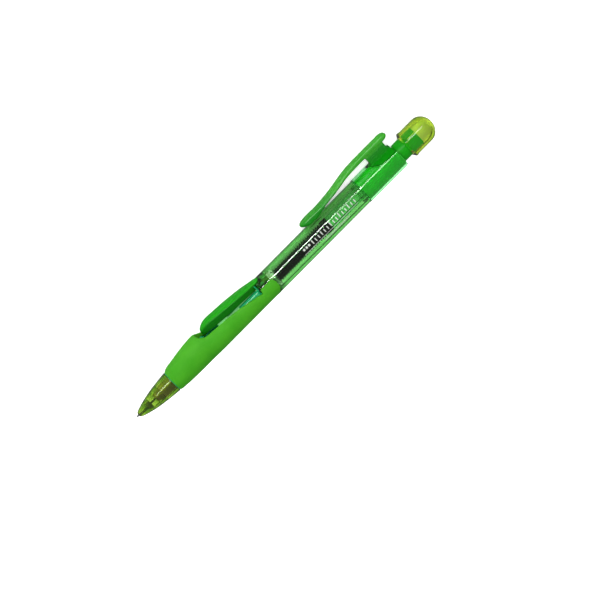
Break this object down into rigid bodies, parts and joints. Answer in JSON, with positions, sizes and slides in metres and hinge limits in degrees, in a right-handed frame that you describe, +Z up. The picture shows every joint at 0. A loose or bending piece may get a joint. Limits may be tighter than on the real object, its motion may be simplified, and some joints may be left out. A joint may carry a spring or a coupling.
{
  "type": "lead holder",
  "caption": "Side-button lead holder with a clear barrel, rubber grip, pocket clip and a clear cap over its eraser.",
  "frame": {"origin": "centre of the laid-down pencil's footprint, on the surface that it rests on", "axes": "+X from the middle towards the tip, -Y towards the pocket clip and the button, +Z up from the desk"},
  "size_m": [0.145, 0.0152, 0.0105],
  "materials": {
    "clear_green": "clear deep green polycarbonate, polished",
    "clear_lime": "clear yellow-green polycarbonate, polished",
    "grip_rubber": "soft matte light green rubber",
    "button_green": "satin deep green moulding",
    "clip_green": "glossy green moulding",
    "bush_olive": "olive-green moulded plastic",
    "slider_green": "light green moulded plastic",
    "black_plastic": "black moulded plastic",
    "brass": "turned brass",
    "steel": "drawn steel tube",
    "spring_steel": "dark spring wire",
    "graphite": "polymer graphite lead, slight sheen",
    "seal_rubber": "dark rubber",
    "eraser_white": "soft white eraser"
  },
  "bodies": {
    "pencil": {"barrel": "clear_green", "grip": "grip_rubber", "guide_bush": "bush_olive", "clutch_housing": "brass", "rear_collar": "clear_green", "clip": "clip_green", "return_spring": "spring_steel"},
    "button": {"side_button": "button_green"},
    "feed": {"chuck": "brass", "chuck_connector": "brass", "cam_slider": "slider_green", "lead_magazine": "black_plastic", "loading_tube": "clear_green"},
    "clutch": {"clutch_ring": "brass"},
    "working_lead": {"lead": "graphite"},
    "spare": {"spare_leads": "graphite"},
    "nose": {"nose_cone": "clear_lime", "lead_sleeve": "steel", "lead_retainer": "seal_rubber"},
    "holder": {"eraser_holder": "clip_green", "eraser": "eraser_white"},
    "cap": {"eraser_cap": "clear_lime"}
  },
  "joints": [
    {"name": "button_press", "type": "hinge", "parent": "pencil", "child": "button", "pos_m": [0.0106, 0.00005, 0.00439], "axis": [0, -0.3461, 0.9382], "range_deg": [0, 4.5]},
    {"name": "feed_slide", "type": "slide", "parent": "pencil", "child": "feed", "axis": [1, 0, 0], "range_m": [0, 0.0016], "stiffness_N_per_m": 400, "springref_m": -0.004, "deforming": ["return_spring"]},
    {"name": "clutch_slide", "type": "slide", "parent": "pencil", "child": "clutch", "axis": [1, 0, 0], "range_m": [0, 0.0006]},
    {"name": "lead_feed", "type": "slide", "parent": "pencil", "child": "working_lead", "axis": [1, 0, 0], "range_m": [-0.0007, 0.01]},
    {"name": "spare_leads_slide", "type": "slide", "parent": "feed", "child": "spare", "axis": [-1, 0, 0], "range_m": [0, 0.0215]},
    {"name": "nose_cone_off", "type": "slide", "parent": "pencil", "child": "nose", "axis": [1, 0, 0], "range_m": [0, 0.024]},
    {"name": "eraser_holder_off", "type": "slide", "parent": "pencil", "child": "holder", "axis": [-1, 0, 0], "range_m": [0, 0.022]},
    {"name": "eraser_cap_off", "type": "slide", "parent": "holder", "child": "cap", "axis": [-1, 0, 0], "range_m": [0, 0.018]}
  ],
  "couplings": [
    {"joint": "button_press", "follows": "feed_slide", "rad_per_m": 49.087},
    {"joint": "clutch_slide", "follows": "feed_slide", "ratio": 0.375}
  ]
}
